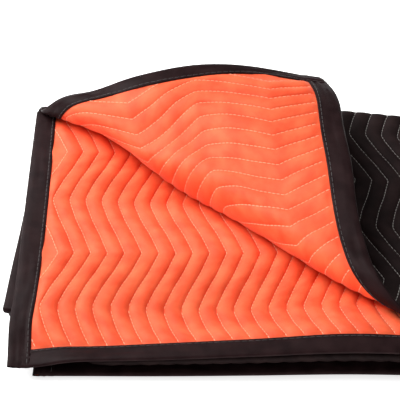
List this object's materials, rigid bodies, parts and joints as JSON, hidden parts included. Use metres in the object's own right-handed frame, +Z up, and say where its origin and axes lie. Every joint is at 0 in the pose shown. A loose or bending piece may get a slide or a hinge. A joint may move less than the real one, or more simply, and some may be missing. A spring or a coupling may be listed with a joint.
{
  "type": "moving pad",
  "caption": "Quilted moving pad, orange on one face and black on the other, with bound edges, folded into a flat stack, the front left corner of its top layer rolled back.",
  "frame": {"origin": "on the flat underside near its middle, 0.45 m to the right of the front left corner and 0.27 m behind it", "axes": "+X to the right along the front folds, +Y to the rear, +Z up"},
  "size_m": [0.9204, 0.5603, 0.1164],
  "materials": {
    "orange_cloth": "matt woven cotton and polyester cover, quilted",
    "black_cloth": "matt woven cotton and polyester cover, quilted",
    "binding": "charcoal woven tape with a slight sheen"
  },
  "bodies": {
    "root": {"orange_face": "orange_cloth", "black_face": "black_cloth", "side_binding_upper": "binding", "side_binding_lower": "binding", "end_binding_front": "binding", "end_binding_back": "binding"}
  },
  "joints": []
}
